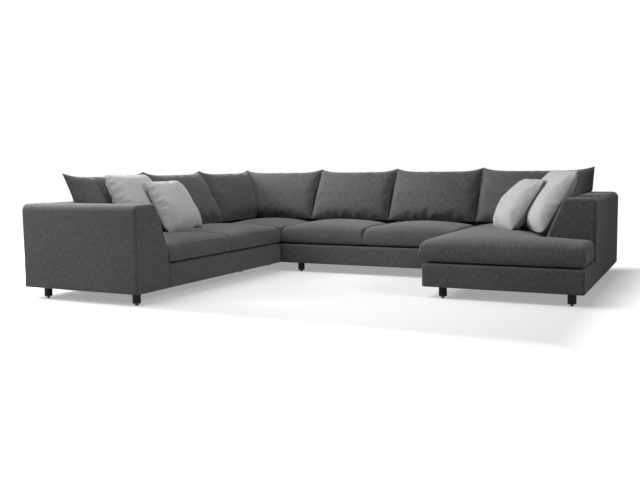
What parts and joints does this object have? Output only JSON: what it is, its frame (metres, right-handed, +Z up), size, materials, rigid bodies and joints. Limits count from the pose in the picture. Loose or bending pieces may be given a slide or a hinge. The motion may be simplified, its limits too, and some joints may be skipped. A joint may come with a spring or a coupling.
{
  "type": "sectional sofa",
  "caption": "U-shaped modular sectional sofa with a right-hand chaise, loose seat and back cushions, slanted arms, scatter pillows and low black legs.",
  "frame": {"origin": "centre of the whole sofa's bounding box on the floor", "axes": "+X along the rear row towards the chaise, +Y towards the rear row's back, +Z up"},
  "size_m": [3.575, 2.87, 0.8548],
  "materials": {
    "upholstery": "heathered charcoal weave",
    "pillow_fabric": "light warm grey weave",
    "frame_wood": "raw sawn",
    "elastic_webbing": "woven elastic",
    "dust_cloth": "spunbond cloth",
    "cushion_foam": "open-cell foam",
    "leg_black": "black satin lacquer",
    "glide_black": "moulded",
    "hook_steel": "zinc plated"
  },
  "bodies": {
    "corner_module": {"corner_rear_back_cover": "upholstery", "corner_side_back_cover": "upholstery", "corner_base_cover": "upholstery", "corner_frame": "frame_wood", "corner_webbing": "elastic_webbing", "corner_dust_cloth": "dust_cloth", "corner_legs": "leg_black", "corner_glides": "glide_black", "corner_hooks": "hook_steel"},
    "left_module": {"left_arm_cover": "upholstery", "left_back_cover": "upholstery", "left_base_cover": "upholstery", "left_frame": "frame_wood", "left_webbing": "elastic_webbing", "left_dust_cloth": "dust_cloth", "left_legs": "leg_black", "left_glides": "glide_black", "left_hooks": "hook_steel"},
    "centre_module": {"centre_back_cover": "upholstery", "centre_base_cover": "upholstery", "centre_frame": "frame_wood", "centre_webbing": "elastic_webbing", "centre_dust_cloth": "dust_cloth", "centre_legs": "leg_black", "centre_glides": "glide_black", "centre_hooks": "hook_steel"},
    "chaise_module": {"chaise_arm_cover": "upholstery", "chaise_back_cover": "upholstery", "chaise_base_cover": "upholstery", "chaise_frame": "frame_wood", "chaise_webbing": "elastic_webbing", "chaise_dust_cloth": "dust_cloth", "chaise_legs": "leg_black", "chaise_glides": "glide_black", "chaise_hooks": "hook_steel"},
    "left_seat_1": {"left_seat_1_cover": "upholstery", "left_seat_1_core": "cushion_foam"},
    "left_seat_2": {"left_seat_2_cover": "upholstery", "left_seat_2_core": "cushion_foam"},
    "corner_seat": {"corner_seat_cover": "upholstery", "corner_seat_core": "cushion_foam"},
    "centre_seat_1": {"centre_seat_1_cover": "upholstery", "centre_seat_1_core": "cushion_foam"},
    "centre_seat_2": {"centre_seat_2_cover": "upholstery", "centre_seat_2_core": "cushion_foam"},
    "chaise_seat": {"chaise_seat_cover": "upholstery", "chaise_seat_core": "cushion_foam"},
    "left_back_cushion_1": {"left_back_cushion_1": "upholstery"},
    "left_back_cushion_2": {"left_back_cushion_2": "upholstery"},
    "corner_side_back_cushion": {"corner_side_back_cushion": "upholstery"},
    "corner_rear_back_cushion": {"corner_rear_back_cushion": "upholstery"},
    "centre_back_cushion_1": {"centre_back_cushion_1": "upholstery"},
    "centre_back_cushion_2": {"centre_back_cushion_2": "upholstery"},
    "chaise_back_cushion": {"chaise_back_cushion": "upholstery"},
    "left_large_pillow": {"left_large_pillow": "pillow_fabric"},
    "left_small_pillow": {"left_small_pillow": "pillow_fabric"},
    "right_large_pillow": {"right_large_pillow": "pillow_fabric"},
    "right_small_pillow": {"right_small_pillow": "pillow_fabric"}
  },
  "joints": [
    {"name": "left_module_unhook", "type": "slide", "parent": "corner_module", "child": "left_module", "axis": [0, 0, 1], "range_m": [0, 0.05]},
    {"name": "centre_module_unhook", "type": "slide", "parent": "corner_module", "child": "centre_module", "axis": [0, 0, 1], "range_m": [0, 0.05]},
    {"name": "chaise_module_unhook", "type": "slide", "parent": "centre_module", "child": "chaise_module", "axis": [0, 0, 1], "range_m": [0, 0.05]},
    {"name": "left_seat_1_lift", "type": "slide", "parent": "left_module", "child": "left_seat_1", "axis": [0, 0, 1], "range_m": [0, 0.3]},
    {"name": "left_seat_2_lift", "type": "slide", "parent": "left_module", "child": "left_seat_2", "axis": [0, 0, 1], "range_m": [0, 0.3]},
    {"name": "corner_seat_lift", "type": "slide", "parent": "corner_module", "child": "corner_seat", "axis": [0, 0, 1], "range_m": [0, 0.3]},
    {"name": "centre_seat_1_lift", "type": "slide", "parent": "centre_module", "child": "centre_seat_1", "axis": [0, 0, 1], "range_m": [0, 0.3]},
    {"name": "centre_seat_2_lift", "type": "slide", "parent": "centre_module", "child": "centre_seat_2", "axis": [0, 0, 1], "range_m": [0, 0.3]},
    {"name": "chaise_seat_lift", "type": "slide", "parent": "chaise_module", "child": "chaise_seat", "axis": [0, 0, 1], "range_m": [0, 0.3]},
    {"name": "left_back_cushion_1_lift", "type": "slide", "parent": "left_seat_1", "child": "left_back_cushion_1", "axis": [0, 0, 1], "range_m": [0, 0.45]},
    {"name": "left_back_cushion_2_lift", "type": "slide", "parent": "left_seat_2", "child": "left_back_cushion_2", "axis": [0, 0, 1], "range_m": [0, 0.45]},
    {"name": "corner_side_back_cushion_lift", "type": "slide", "parent": "corner_seat", "child": "corner_side_back_cushion", "axis": [0, 0, 1], "range_m": [0, 0.45]},
    {"name": "corner_rear_back_cushion_lift", "type": "slide", "parent": "corner_seat", "child": "corner_rear_back_cushion", "axis": [0, 0, 1], "range_m": [0, 0.45]},
    {"name": "centre_back_cushion_1_lift", "type": "slide", "parent": "centre_seat_1", "child": "centre_back_cushion_1", "axis": [0, 0, 1], "range_m": [0, 0.45]},
    {"name": "centre_back_cushion_2_lift", "type": "slide", "parent": "centre_seat_2", "child": "centre_back_cushion_2", "axis": [0, 0, 1], "range_m": [0, 0.45]},
    {"name": "chaise_back_cushion_lift", "type": "slide", "parent": "chaise_seat", "child": "chaise_back_cushion", "axis": [0, 0, 1], "range_m": [0, 0.45]},
    {"name": "left_large_pillow_lift", "type": "slide", "parent": "left_back_cushion_1", "child": "left_large_pillow", "axis": [0, 0, 1], "range_m": [0, 0.4]},
    {"name": "left_small_pillow_lift", "type": "slide", "parent": "left_large_pillow", "child": "left_small_pillow", "axis": [0, 0, 1], "range_m": [0, 0.4]},
    {"name": "right_large_pillow_lift", "type": "slide", "parent": "chaise_seat", "child": "right_large_pillow", "axis": [0, 0, 1], "range_m": [0, 0.4]},
    {"name": "right_small_pillow_lift", "type": "slide", "parent": "right_large_pillow", "child": "right_small_pillow", "axis": [0, 0, 1], "range_m": [0, 0.4]}
  ]
}
